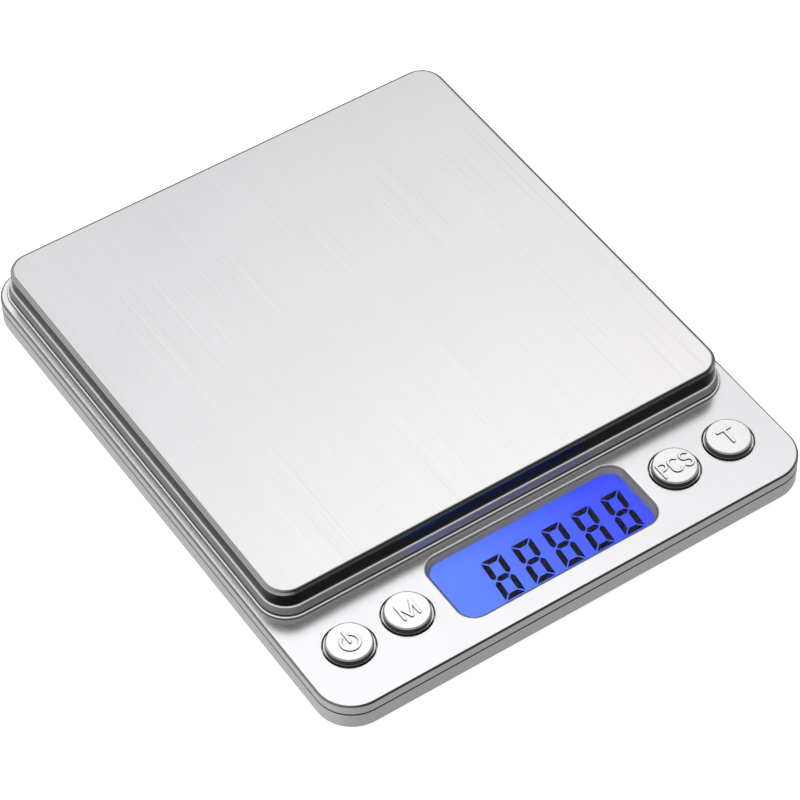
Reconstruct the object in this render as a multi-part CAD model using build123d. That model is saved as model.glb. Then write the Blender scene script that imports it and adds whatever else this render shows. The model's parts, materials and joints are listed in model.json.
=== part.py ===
from build123d import *
import os
from math import atan2, degrees, hypot, sqrt

# A compact digital gram scale with a square stainless pan.
#
# Frame: millimetres, +Z up, origin on the desk under the middle of the body.
# X runs across the scale, Y runs along it, and the controls are at the -Y end.
# Heights are measured from the desk.

# --- Body ---------------------------------------------------------------------
BODY_WIDTH = 106.0
BODY_LENGTH = 127.0
BODY_CORNER = 7.5
WALL = 1.6

UNDERSIDE_Z = 1.0            # flat underside, held off the desk by the feet
TAPER_TOP_Z = 6.7            # the sides lean in at 45 degrees below this height
SEAM_Z = 10.1                # joint between the two casings
DECK_Z = 12.6                # top face round the pan, with the controls
DECK_EDGE_ROUND = 0.5

FLOOR_Z = UNDERSIDE_Z + WALL
DECK_CEILING_Z = DECK_Z - WALL
TAPER = TAPER_TOP_Z - UNDERSIDE_Z
HALF_WIDTH = BODY_WIDTH / 2
HALF_LENGTH = BODY_LENGTH / 2

SEAM_GAP = 0.4               # open reveal that shows as a line round the body
SEAM_DEPTH = 0.8
TONGUE_DROP = 0.8            # the upper casing's tongue, inside the lower wall
TONGUE_CLEARANCE = 0.05

# --- Pan and its carrier --------------------------------------------------------
PAN_Y = 11.0                 # centre of the pan
PAN_HALF = 50.3
PAN_CORNER = 5.0
PAN_SHEET = 0.5
PAN_TOP_Z = 19.0
PAN_EDGE_ROUND = 0.9
PAN_FIT = 0.05               # carrier to pan, all round

LEDGE_Z = 15.05              # the pan's skirt ends on this ledge
LEDGE_HALF = 50.6
SKIRT_BOTTOM_Z = 13.45
SKIRT_HALF = 51.0
SKIRT_INNER_HALF = 48.9
SKIRT_EDGE_ROUND = 0.15
CARRIER_TOP_Z = 18.0
CARRIER_PLATE = 1.8

LIP_HALF = 51.4              # raised step of the upper casing under the skirt
LIP_TOP_Z = 13.1
LIP_EDGE_ROUND = 0.25
PLINTH_HALF = 48.4           # raised field of the upper casing inside the carrier
PLINTH_TOP_Z = 15.2
PLINTH_CORNER = 3.5
PLINTH_CEILING_Z = PLINTH_TOP_Z - WALL

STOP_OFFSET = 38.0           # overload stops, from the middle of the pan
STOP_RADIUS = 3.0
STOP_TOP_Z = 15.9

TAPE_SIZE = (24.0, 10.0)     # adhesive foam between carrier and pan
TAPE_OFFSET = (28.0, 34.0)

# --- Load cell --------------------------------------------------------------------
CELL_LENGTH = 47.0
CELL_WIDTH = 12.0
CELL_BOTTOM_Z = 5.2
CELL_TOP_Z = 11.2
CELL_SCREW_X = (13.5, 20.5)  # from the middle of the cell, at each end
CELL_BORE_X = 4.5            # the two bores that thin the beam
CELL_BORE_RADIUS = 2.3
CELL_SLOT = 1.6
CELL_END = 13.0              # length of each thick end
SEAL_SIZE = (16.0, 9.0, 1.0)
M3_RADIUS = 1.5
M3_HEAD_RADIUS = 2.75
M3_HEAD = 1.6
BOSS_OPENING_GAP = 1.0

# --- Display ------------------------------------------------------------------------
DISPLAY_Y = -50.45
WINDOW_WIDTH = 43.8
WINDOW_LENGTH = 15.9
WINDOW_CORNER = 3.5
WINDOW_DRAFT = 0.5           # each side, from the deck down to its underside
WINDOW_EDGE_ROUND = 0.8

LENS_WIDTH = 46.8
LENS_LENGTH = 18.0
LENS_BOTTOM_Z = 10.2
LENS_TOP_Z = 11.1
LENS_FIT = 0.1

GLASS_WIDTH = 44.4
GLASS_LENGTH = 15.9
GLASS_THICKNESS = 0.68
GLASS_REACH = 1.1            # further under the deck at the rear than at the front
GLASS_LEDGE = 1.0            # strip of the rear glass that carries its contacts
CRYSTAL_GAP = 0.04           # between the two glasses
REAR_GLASS_Z = 8.75
LCD_FRAME_WALL = 1.1
LIGHT_PANEL_Z = 6.9
LIGHT_PANEL_INSET = 0.45     # from the right edge of the glass
LED_SIZE = (1.3, 2.4, 1.6)
STRIP_SIZE = (40.0, 0.9)

# --- Buttons ------------------------------------------------------------------------
BUTTON_X = {"power": -42.5, "mode": -30.0, "count": 30.0, "tare": 42.5}
BUTTON_Y = -50.65
BUTTON_HOLE_RADIUS = 5.1
CAP_LEDGE_RADIUS = 4.7
CAP_LEDGE_Z = 12.75
CAP_RADIUS = 4.4
CAP_TOP_Z = 13.9
CAP_EDGE_ROUND = 0.35
CAP_FLANGE_RADIUS = 5.5
CAP_FLANGE_BOTTOM_Z = 10.25
CAP_FLANGE_TOP_Z = 10.95
CAP_SHELL = 1.2
CAP_POST_RADIUS = 2.0
LEGEND_RELIEF = 0.22
LEGEND_STROKE = 0.5
SMALL_LEGEND_STROKE = 0.4    # where three letters share a key
LEGEND_HALF_HEIGHT = 1.65
POWER_RING_RADIUS = 1.75
POWER_RING_DROP = 0.3
POWER_RING_OPENING = 50.0    # degrees
POWER_BAR_TOP = 2.3
LETTER_M_HALF_WIDTH = 1.55
LETTER_T_HALF_WIDTH = 1.4
LETTER_C_RADIUS = 0.95
LETTER_PITCH = 2.55
LETTER_P_STEM = 0.7          # from the middle of the letter to its stem
LETTER_P_FLAT = 0.1          # from there to where its bowl begins
OPEN_END = 20.0              # degrees from level at which C and S stop

SWITCH_SIZE = 6.0
SWITCH_HEIGHT = 3.5
PLUNGER_RADIUS = 1.7
PLUNGER_BOTTOM_Z = 8.6
PLUNGER_CLEARANCE = 0.1
PLUNGER_WELL_Z = 8.0

# --- Circuit board --------------------------------------------------------------------
BOARD_BOTTOM_Z = 5.2
BOARD_THICKNESS = 1.0
BOARD_TOP_Z = BOARD_BOTTOM_Z + BOARD_THICKNESS
BOARD_HALF_WIDTH = 46.0
BOARD_FRONT_Y = -57.5
BOARD_REAR_Y = -22.0
BOARD_SCREWS = [(-41.0, -26.0), (41.0, -26.0), (-36.25, -43.5), (36.25, -43.5)]
BOARD_SCREW_RADIUS = 0.9
BOARD_SCREW_HEAD_RADIUS = 1.8
BOARD_SCREW_HEAD = 1.2
STANDOFF_RADIUS = 2.3
BOARD_NOTCH_CLEARANCE = 0.3

CONTROLLER_CHIP = {
    "middle": (-8.0, -33.5), "size": (12.0, 7.5, 1.7), "leads_per_side": 12, "lead_pitch": 0.95,
}
CONVERTER_CHIP = {
    "middle": (13.0, -32.0), "size": (10.0, 4.0, 1.5), "leads_per_side": 8, "lead_pitch": 1.27,
}
CHIP_STANDOFF = 0.1
CHIP_LEAD_REACH = 1.0
CHIP_LEAD_SHEET = 0.25

CRYSTAL_PLACE = (-25.0, -31.0)
CRYSTAL_SIZE = (10.5, 4.4, 3.3)
CRYSTAL_CORNER = 2.1
CRYSTAL_EDGE_ROUND = 0.5
CAPACITOR_PLACES = [(27.0, -28.0), (27.0, -34.0), (33.0, -34.0)]
CAPACITOR_RADIUS = 2.1
CAPACITOR_HEIGHT = 4.2
CAPACITOR_EDGE_ROUND = 0.3
RESISTOR_COUNT = 6
RESISTOR_PITCH = 3.0
RESISTOR_FIRST = (-20.0, -25.2)
RESISTOR_SIZE = (0.8, 1.6, 0.5)

# --- Fasteners and feet -----------------------------------------------------------------
CASE_SCREWS_FRONT = [(-36.25, -55.8), (36.25, -55.8)]
CASE_SCREWS_REAR = [(-33.0, 54.5), (33.0, 54.5)]
CASE_SCREW_RADIUS = 1.1
CASE_SCREW_HEAD_RADIUS = 1.9
CASE_SCREW_HEAD = 1.3
CASE_SCREW_TIP_Z = 9.0
CASE_BOSS_RADIUS = 2.3
CASE_BOSS_MEET_Z = 5.0
COUNTERBORE_RADIUS = 2.1
RECESS_DEPTH = 0.7

FOOT_CENTRES = {
    "front_left": (-41.0, -46.0),
    "front_right": (41.0, -46.0),
    "rear_left": (-41.0, 47.0),
    "rear_right": (41.0, 47.0),
}
FOOT_RADIUS = 5.0
FOOT_HEIGHT = 1.5
FOOT_EDGE_ROUND = 0.4
FOOT_POCKET_CLEARANCE = 0.1

# --- Battery bay ----------------------------------------------------------------------------
BATTERY_RADIUS = 5.2
BATTERY_LENGTH = 44.5
BATTERY_NUB = 1.0
BATTERY_NUB_RADIUS = 1.9
BATTERY_EDGE_ROUND = 0.4
BATTERY_Z = 8.15
BATTERY_Y = (33.0, 44.2)
BAY_HALF_WIDTH = 25.9
BAY_FRONT_Y = 26.3
BAY_REAR_Y = 50.4
BAY_WALL = 1.2
BAY_WALL_TOP_Z = 12.0
CONTACT_SHEET = 0.3
CONTACT_Z = (5.0, 11.0)
CONTACT_CREST_HALF = 1.8     # half the flat that presses on a cell
CONTACT_FOOT = (3.9, 5.0)    # from the middle of a cell to the strip's flat foot on the wall

DOOR_HALF_WIDTH = 23.05
DOOR_CLEARANCE = 0.15
TONGUE_HALF_WIDTH = 25.0
TONGUE_Z = (1.75, 2.3)
RAIL_TOP_Z = 3.2
GRIP_GROOVES = 5
GRIP_PITCH = 1.8
GRIP_DEPTH = 0.35
GRIP_WIDTH = 0.8
GRIP_HALF_LENGTH = 8.0

# --- Wires ------------------------------------------------------------------------------------
BATTERY_LEAD_DIAMETER = 1.1
BATTERY_LEAD_Y = {"red": BATTERY_Y[1] + 4.5, "black": BATTERY_Y[0] - 4.5}
BATTERY_LEAD_RUN_X = {"red": -33.0, "black": -31.0}
BATTERY_LEAD_STRAIGHT = 8.0  # level stretch at each end of the long slope

CELL_LEAD_COLOURS = ("red", "black", "green", "white")
CELL_LEAD_DIAMETER = 0.8
CELL_LEAD_FIRST_X = -4.0
CELL_LEAD_PITCH = 1.6
CELL_LEAD_STRAIGHT = 9.0
CELL_LEAD_Z = CELL_TOP_Z + 0.6 * CELL_LEAD_DIAMETER

LEAD_BEND = 3.0
LEAD_END_Y = BOARD_REAR_Y - 2.0
LEAD_ARCH_Z = BOARD_TOP_Z + 4.0

BOTTOM = (Align.CENTER, Align.CENTER, Align.MIN)


# --- Building blocks ---------------------------------------------------------------------------
def box_between(x_span, y_span, z_span):
    """A plain box between two values on each axis."""
    sizes = [high - low for low, high in (x_span, y_span, z_span)]
    middles = [(high + low) / 2 for low, high in (x_span, y_span, z_span)]
    return Pos(*middles) * Box(*sizes)


def rod(radius, place, z_span):
    """An upright cylinder at a place (x, y)."""
    low, high = z_span
    return Pos(place[0], place[1], low) * Cylinder(radius, high - low, align=BOTTOM)


def rounded_block(width, length, corner, z_span, y_middle=0.0):
    """An upright block whose four upright edges are round."""
    low, high = z_span
    outline = Pos(0, y_middle, low) * RectangleRounded(width, length, corner)
    return extrude(outline, high - low)


def square_block(half, corner, z_span):
    """A rounded square block centred under the pan."""
    return rounded_block(2 * half, 2 * half, corner, z_span, PAN_Y)


def body_block(inset, z_span):
    """A block with the body's outline, drawn in by an inset."""
    width = BODY_WIDTH - 2 * inset
    length = BODY_LENGTH - 2 * inset
    return rounded_block(width, length, BODY_CORNER - inset, z_span)


def top_edges(shape):
    return shape.edges().group_by(Axis.Z)[-1]


def bottom_edges(shape):
    return shape.edges().group_by(Axis.Z)[0]


def node(shapes):
    """Several separate solids that share one node."""
    return Compound(children=[solid for shape in shapes for solid in shape.solids()])


# --- Casings --------------------------------------------------------------------------------------
def body_envelope():
    """The outer shape of the lower casing, with its leaning sides."""
    return chamfer(bottom_edges(body_block(0, (UNDERSIDE_Z, SEAM_Z))), TAPER)


def lower_cavity():
    """The hollow of the lower casing, one wall thickness inside the leaning sides."""
    lean_offset = WALL * (sqrt(2) - 1)
    inner_taper = TAPER_TOP_Z + lean_offset - FLOOR_Z
    return chamfer(bottom_edges(body_block(WALL, (FLOOR_Z, SEAM_Z + 1))), inner_taper)


def tongue_ring(outer_inset, z_span):
    return body_block(outer_inset, z_span) - body_block(WALL, z_span)


def battery_slot():
    """The way that the battery door slides, with its two side grooves."""
    way = (BAY_FRONT_Y, HALF_LENGTH + 1)
    half = DOOR_HALF_WIDTH + DOOR_CLEARANCE
    groove_half = TONGUE_HALF_WIDTH + DOOR_CLEARANCE
    groove_z = (TONGUE_Z[0] - DOOR_CLEARANCE, TONGUE_Z[1] + DOOR_CLEARANCE)
    slot = box_between((-half, half), way, (UNDERSIDE_Z - 1, FLOOR_Z + DOOR_CLEARANCE))
    groove = box_between((-groove_half, groove_half), way, groove_z)
    return slot + groove


def battery_bay_walls():
    """Walls round the two cells, with the rails that thicken the floor over the grooves."""
    outer = BAY_HALF_WIDTH + BAY_WALL
    wall_z = (FLOOR_Z, BAY_WALL_TOP_Z)
    walls = box_between((-outer, outer), (BAY_FRONT_Y - BAY_WALL, BAY_REAR_Y + BAY_WALL), wall_z)
    walls -= box_between((-BAY_HALF_WIDTH, BAY_HALF_WIDTH), (BAY_FRONT_Y, BAY_REAR_Y), wall_z)
    rail_inner = DOOR_HALF_WIDTH + DOOR_CLEARANCE
    for side in (-1, 1):
        rail_x = sorted((side * rail_inner, side * outer))
        walls += box_between(rail_x, (BAY_FRONT_Y, HALF_LENGTH), (FLOOR_Z, RAIL_TOP_Z))
    return walls


def bottom_casing():
    casing = body_envelope() - lower_cavity()
    casing -= body_block(TONGUE_DROP, (SEAM_Z - TONGUE_DROP - TONGUE_CLEARANCE, SEAM_Z + 1))

    inside = battery_bay_walls()
    cell_end_x = (-CELL_LENGTH / 2, CELL_END - CELL_LENGTH / 2)
    cell_y = (PAN_Y - CELL_WIDTH / 2, PAN_Y + CELL_WIDTH / 2)
    inside += box_between(cell_end_x, cell_y, (FLOOR_Z, CELL_BOTTOM_Z))
    for place in BOARD_SCREWS:
        inside += rod(STANDOFF_RADIUS, place, (FLOOR_Z, BOARD_BOTTOM_Z))
    for place in CASE_SCREWS_FRONT + CASE_SCREWS_REAR:
        inside += rod(CASE_BOSS_RADIUS + WALL / 2, place, (FLOOR_Z, CASE_BOSS_MEET_Z))
    casing += inside & body_envelope()

    casing -= battery_slot()
    for place in BOARD_SCREWS:
        casing -= rod(BOARD_SCREW_RADIUS, place, (FLOOR_Z - WALL / 4, BOARD_BOTTOM_Z))
    for offset in CELL_SCREW_X:
        casing -= rod(M3_RADIUS, (-offset, PAN_Y), (FLOOR_Z - WALL / 4, CELL_BOTTOM_Z))
    for place in CASE_SCREWS_FRONT + CASE_SCREWS_REAR:
        casing -= rod(COUNTERBORE_RADIUS, place, (UNDERSIDE_Z, FLOOR_Z))
        casing -= rod(CASE_SCREW_RADIUS, place, (FLOOR_Z, CASE_BOSS_MEET_Z))
    for place in FOOT_CENTRES.values():
        casing -= rod(FOOT_RADIUS + FOOT_POCKET_CLEARANCE, place, (UNDERSIDE_Z, FOOT_HEIGHT))
    for start_y in BATTERY_LEAD_Y.values():
        hole = Cylinder(BATTERY_LEAD_DIAMETER / 2 + DOOR_CLEARANCE, 3 * BAY_WALL)
        casing -= Pos(-BAY_HALF_WIDTH - BAY_WALL / 2, start_y, BATTERY_Z) * Rot(0, 90, 0) * hole
    return casing


def display_window():
    """The opening in the deck, wider at the top than at the bottom."""
    top = Pos(0, DISPLAY_Y, DECK_Z) * RectangleRounded(WINDOW_WIDTH, WINDOW_LENGTH, WINDOW_CORNER)
    bottom = Pos(0, DISPLAY_Y, DECK_CEILING_Z) * RectangleRounded(
        WINDOW_WIDTH - 2 * WINDOW_DRAFT, WINDOW_LENGTH - 2 * WINDOW_DRAFT, WINDOW_CORNER - WINDOW_DRAFT
    )
    return loft([bottom, top])


def window_rim(casing):
    """The edges where the window meets the deck."""
    near_deck = (DECK_Z - DECK_EDGE_ROUND / 2, DECK_Z + DECK_EDGE_ROUND / 2)
    rim = []
    for edge in casing.edges().filter_by_position(Axis.Z, *near_deck):
        middle = edge.center()
        if abs(middle.X) <= WINDOW_WIDTH / 2 and abs(middle.Y - DISPLAY_Y) <= WINDOW_LENGTH / 2:
            rim.append(edge)
    return rim


def top_casing():
    casing = body_block(0, (SEAM_Z, DECK_Z))
    casing = fillet(top_edges(casing), DECK_EDGE_ROUND)
    lip = square_block(LIP_HALF, PAN_CORNER + LIP_HALF - PAN_HALF, (DECK_CEILING_Z, LIP_TOP_Z))
    casing += fillet(top_edges(lip), LIP_EDGE_ROUND)
    casing += square_block(PLINTH_HALF, PLINTH_CORNER, (DECK_CEILING_Z, PLINTH_TOP_Z))
    casing -= body_block(WALL, (SEAM_Z, DECK_CEILING_Z))
    casing -= square_block(PLINTH_HALF - WALL, PLINTH_CORNER - WALL, (DECK_CEILING_Z, PLINTH_CEILING_Z))

    casing -= body_block(0, (SEAM_Z, SEAM_Z + SEAM_GAP)) - body_block(SEAM_DEPTH, (SEAM_Z, SEAM_Z + SEAM_GAP))
    casing += tongue_ring(TONGUE_DROP + TONGUE_CLEARANCE, (SEAM_Z - TONGUE_DROP, SEAM_Z + SEAM_GAP))

    for x_side in (-1, 1):
        for y_side in (-1, 1):
            place = (x_side * STOP_OFFSET, PAN_Y + y_side * STOP_OFFSET)
            casing += rod(STOP_RADIUS, place, (PLINTH_TOP_Z, STOP_TOP_Z))
    for places, ceiling in ((CASE_SCREWS_FRONT, DECK_CEILING_Z), (CASE_SCREWS_REAR, PLINTH_CEILING_Z)):
        for place in places:
            casing += rod(CASE_BOSS_RADIUS, place, (CASE_BOSS_MEET_Z, ceiling))
            casing -= rod(CASE_SCREW_RADIUS, place, (CASE_BOSS_MEET_Z, CASE_SCREW_TIP_Z))

    boss_x = (CELL_LENGTH / 2 - CELL_END - BOSS_OPENING_GAP, CELL_LENGTH / 2 + BOSS_OPENING_GAP)
    boss_half = CELL_WIDTH / 2 + BOSS_OPENING_GAP
    casing -= box_between(boss_x, (PAN_Y - boss_half, PAN_Y + boss_half), (PLINTH_CEILING_Z, PLINTH_TOP_Z))
    casing -= display_window()
    casing = fillet(window_rim(casing), WINDOW_EDGE_ROUND)
    for x in BUTTON_X.values():
        casing -= rod(BUTTON_HOLE_RADIUS, (x, BUTTON_Y), (DECK_CEILING_Z, DECK_Z))
    return casing


def foot(place):
    pad = rod(FOOT_RADIUS, place, (0, FOOT_HEIGHT))
    return fillet(bottom_edges(pad), FOOT_EDGE_ROUND)


def case_screws():
    screws = []
    for place in CASE_SCREWS_FRONT + CASE_SCREWS_REAR:
        screws.append(recessed_screw(
            place, CASE_SCREW_RADIUS, CASE_SCREW_HEAD_RADIUS,
            head_z=(FLOOR_Z - CASE_SCREW_HEAD, FLOOR_Z), shank_z=(FLOOR_Z, CASE_SCREW_TIP_Z),
            drive_face_z=FLOOR_Z - CASE_SCREW_HEAD,
        ))
    return node(screws)


def recessed_screw(place, radius, head_radius, head_z, shank_z, drive_face_z):
    """A round-head screw with a cross recess in the face of its head."""
    screw = rod(head_radius, place, head_z) + rod(radius, place, shank_z)
    arm = 0.7 * head_radius
    width = 0.22 * head_radius
    recess_z = (drive_face_z - RECESS_DEPTH, drive_face_z + RECESS_DEPTH)
    x, y = place
    screw -= box_between((x - arm, x + arm), (y - width, y + width), recess_z)
    screw -= box_between((x - width, x + width), (y - arm, y + arm), recess_z)
    return screw


# --- Pan, carrier and load cell -----------------------------------------------------------------------
def weighing_pan():
    outer = fillet(top_edges(square_block(PAN_HALF, PAN_CORNER, (LEDGE_Z, PAN_TOP_Z))), PAN_EDGE_ROUND)
    inner = square_block(PAN_HALF - PAN_SHEET, PAN_CORNER - PAN_SHEET, (LEDGE_Z, PAN_TOP_Z - PAN_SHEET))
    return outer - fillet(top_edges(inner), PAN_EDGE_ROUND - PAN_SHEET)


def skirt_outline(half, z):
    corner = PAN_CORNER + half - PAN_HALF
    return Pos(0, PAN_Y, z) * RectangleRounded(2 * half, 2 * half, corner)


def carrier_boss_span():
    """Sides of the block that reaches down to the free end of the load cell."""
    return (CELL_LENGTH / 2 - CELL_END, CELL_LENGTH / 2), (PAN_Y - CELL_WIDTH / 2, PAN_Y + CELL_WIDTH / 2)


def pan_carrier():
    skirt = loft([skirt_outline(SKIRT_HALF, SKIRT_BOTTOM_Z), skirt_outline(LEDGE_HALF, LEDGE_Z)])
    carrier = fillet(top_edges(skirt), SKIRT_EDGE_ROUND)
    core_half = PAN_HALF - PAN_SHEET - PAN_FIT
    carrier += square_block(core_half, PAN_CORNER - PAN_SHEET - PAN_FIT, (SKIRT_BOTTOM_Z, CARRIER_TOP_Z))
    carrier -= square_block(
        SKIRT_INNER_HALF, PLINTH_CORNER + SKIRT_INNER_HALF - PLINTH_HALF,
        (SKIRT_BOTTOM_Z, CARRIER_TOP_Z - CARRIER_PLATE),
    )
    boss_x, boss_y = carrier_boss_span()
    carrier += box_between(boss_x, boss_y, (CELL_TOP_Z, CARRIER_TOP_Z - CARRIER_PLATE))
    for offset in CELL_SCREW_X:
        carrier -= rod(M3_HEAD_RADIUS + PAN_FIT, (offset, PAN_Y), (CARRIER_TOP_Z - M3_HEAD, CARRIER_TOP_Z))
        carrier -= rod(M3_RADIUS, (offset, PAN_Y), (CELL_TOP_Z, CARRIER_TOP_Z - M3_HEAD))
    return carrier


def pan_tape_pads():
    pads = []
    half_x, half_y = TAPE_SIZE[0] / 2, TAPE_SIZE[1] / 2
    for x_side in (-1, 1):
        for y_side in (-1, 1):
            x = x_side * TAPE_OFFSET[0]
            y = PAN_Y + y_side * TAPE_OFFSET[1]
            pads.append(box_between(
                (x - half_x, x + half_x), (y - half_y, y + half_y), (CARRIER_TOP_Z, PAN_TOP_Z - PAN_SHEET)
            ))
    return node(pads)


def load_cell():
    half = CELL_LENGTH / 2
    cell = box_between(
        (-half, half), (PAN_Y - CELL_WIDTH / 2, PAN_Y + CELL_WIDTH / 2), (CELL_BOTTOM_Z, CELL_TOP_Z)
    )
    middle_z = (CELL_BOTTOM_Z + CELL_TOP_Z) / 2
    for side in (-1, 1):
        bore = Cylinder(CELL_BORE_RADIUS, 2 * CELL_WIDTH)
        cell -= Pos(side * CELL_BORE_X, PAN_Y, middle_z) * Rot(90, 0, 0) * bore
        for offset in CELL_SCREW_X:
            cell -= rod(M3_RADIUS, (side * offset, PAN_Y), (CELL_BOTTOM_Z, CELL_TOP_Z))
    cell -= Pos(0, PAN_Y, middle_z) * Box(2 * CELL_BORE_X, 2 * CELL_WIDTH, CELL_SLOT)
    return cell


def gauge_seal():
    length, width, height = SEAL_SIZE
    pad = rounded_block(length, width, 2.0, (CELL_TOP_Z, CELL_TOP_Z + height), PAN_Y)
    return fillet(top_edges(pad), 0.6 * height)


def cell_base_screws():
    return node(recessed_screw(
        (-offset, PAN_Y), M3_RADIUS, M3_HEAD_RADIUS,
        head_z=(CELL_TOP_Z, CELL_TOP_Z + M3_HEAD), shank_z=(FLOOR_Z, CELL_TOP_Z),
        drive_face_z=CELL_TOP_Z + M3_HEAD,
    ) for offset in CELL_SCREW_X)


def carrier_screws():
    return node(recessed_screw(
        (offset, PAN_Y), M3_RADIUS, M3_HEAD_RADIUS,
        head_z=(CARRIER_TOP_Z - M3_HEAD, CARRIER_TOP_Z),
        shank_z=(CELL_BOTTOM_Z + RECESS_DEPTH, CARRIER_TOP_Z - M3_HEAD),
        drive_face_z=CARRIER_TOP_Z,
    ) for offset in CELL_SCREW_X)


# --- Display --------------------------------------------------------------------------------------------
def display_lens():
    flange = rounded_block(
        LENS_WIDTH, LENS_LENGTH, WINDOW_CORNER, (LENS_BOTTOM_Z, DECK_CEILING_Z), DISPLAY_Y
    )
    plug_inset = WINDOW_DRAFT + LENS_FIT
    plug = rounded_block(
        WINDOW_WIDTH - 2 * plug_inset, WINDOW_LENGTH - 2 * plug_inset, WINDOW_CORNER - plug_inset,
        (DECK_CEILING_Z, LENS_TOP_Z), DISPLAY_Y,
    )
    return flange + plug


def glass_span(ledge):
    """Sides of an LCD glass, longer towards the pan by its reach and its contact ledge."""
    half_x, half_y = GLASS_WIDTH / 2, GLASS_LENGTH / 2
    return (-half_x, half_x), (DISPLAY_Y - half_y, DISPLAY_Y + half_y + GLASS_REACH + ledge)


def lcd_rear_glass():
    x_span, y_span = glass_span(GLASS_LEDGE)
    return box_between(x_span, y_span, (REAR_GLASS_Z, REAR_GLASS_Z + GLASS_THICKNESS))


def lcd_front_glass():
    x_span, y_span = glass_span(0)
    bottom = REAR_GLASS_Z + GLASS_THICKNESS + CRYSTAL_GAP
    return box_between(x_span, y_span, (bottom, bottom + GLASS_THICKNESS))


def lcd_frame():
    x_span, y_span = glass_span(GLASS_LEDGE)
    height = (BOARD_TOP_Z, REAR_GLASS_Z + 2 * GLASS_THICKNESS + CRYSTAL_GAP)
    inner_x = (x_span[0] - LENS_FIT, x_span[1] + LENS_FIT)
    inner_y = (y_span[0] - LENS_FIT, y_span[1] + LENS_FIT)
    outer_x = (inner_x[0] - LCD_FRAME_WALL, inner_x[1] + LCD_FRAME_WALL)
    outer_y = (inner_y[0] - LCD_FRAME_WALL, inner_y[1] + LCD_FRAME_WALL)
    return box_between(outer_x, outer_y, height) - box_between(inner_x, inner_y, height)


def led_x_span():
    left = -GLASS_WIDTH / 2
    return left, left + LED_SIZE[0]


def backlight_panel():
    """A block under the whole glass, with a pocket at its left end for the LED."""
    x_span, y_span = glass_span(0)
    panel = box_between(
        (x_span[0], x_span[1] - LIGHT_PANEL_INSET), y_span, (LIGHT_PANEL_Z, REAR_GLASS_Z)
    )
    half_y = LED_SIZE[1] / 2 + LENS_FIT
    pocket_x = (x_span[0], led_x_span()[1] + LENS_FIT)
    pocket_z = (LIGHT_PANEL_Z, BOARD_TOP_Z + LED_SIZE[2] + LENS_FIT)
    return panel - box_between(pocket_x, (DISPLAY_Y - half_y, DISPLAY_Y + half_y), pocket_z)


def backlight_led():
    half_y = LED_SIZE[1] / 2
    return box_between(
        led_x_span(), (DISPLAY_Y - half_y, DISPLAY_Y + half_y), (BOARD_TOP_Z, BOARD_TOP_Z + LED_SIZE[2])
    )


def display_connector():
    length, thickness = STRIP_SIZE
    rear = glass_span(GLASS_LEDGE)[1][1]
    return box_between((-length / 2, length / 2), (rear - thickness, rear), (BOARD_TOP_Z, REAR_GLASS_Z))


# --- Buttons --------------------------------------------------------------------------------------------
def stroke(start, end, width=LEGEND_STROKE):
    """A straight line of a legend, with round ends."""
    run = (end[0] - start[0], end[1] - start[1])
    middle = ((start[0] + end[0]) / 2, (start[1] + end[1]) / 2)
    length = hypot(*run) + width
    return Pos(*middle) * Rot(0, 0, degrees(atan2(run[1], run[0]))) * SlotOverall(length, width)


def arc_stroke(centre, radius, start_angle, sweep_angle, width=LEGEND_STROKE):
    return trace(CenterArc(centre, radius, start_angle, sweep_angle), width)


def power_legend():
    centre = (0, -POWER_RING_DROP)
    ring = arc_stroke(centre, POWER_RING_RADIUS, 90 + POWER_RING_OPENING / 2, 360 - POWER_RING_OPENING)
    return ring + stroke(centre, (0, POWER_BAR_TOP))


def mode_legend():
    half, height = LETTER_M_HALF_WIDTH, LEGEND_HALF_HEIGHT
    letter = stroke((-half, -height), (-half, height)) + stroke((half, -height), (half, height))
    return letter + stroke((-half, height), (0, -height)) + stroke((half, height), (0, -height))


def count_legend():
    width, height = SMALL_LEGEND_STROKE, LEGEND_HALF_HEIGHT
    bowl = height / 2
    stem_x = -LETTER_PITCH - LETTER_P_STEM
    bowl_x = -LETTER_PITCH + LETTER_P_FLAT
    letter_p = stroke((stem_x, -height), (stem_x, height), width)
    letter_p += stroke((stem_x, height), (bowl_x, height), width)
    letter_p += stroke((stem_x, 0), (bowl_x, 0), width)
    letter_p += arc_stroke((bowl_x, bowl), bowl, -90, 180, width)

    radius = LETTER_C_RADIUS
    arc_y = height - radius
    letter_c = arc_stroke((0, arc_y), radius, OPEN_END, 180 - OPEN_END, width)
    letter_c += stroke((-radius, arc_y), (-radius, -arc_y), width)
    letter_c += arc_stroke((0, -arc_y), radius, 180, 180 - OPEN_END, width)

    letter_s = arc_stroke((LETTER_PITCH, bowl), bowl, OPEN_END, 270 - OPEN_END, width)
    letter_s += arc_stroke((LETTER_PITCH, -bowl), bowl, OPEN_END - 180, 270 - OPEN_END, width)
    return letter_p + letter_c + letter_s


def tare_legend():
    half, height = LETTER_T_HALF_WIDTH, LEGEND_HALF_HEIGHT
    return stroke((-half, height), (half, height)) + stroke((0, -height), (0, height))


LEGENDS = {"power": power_legend, "mode": mode_legend, "count": count_legend, "tare": tare_legend}


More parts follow.
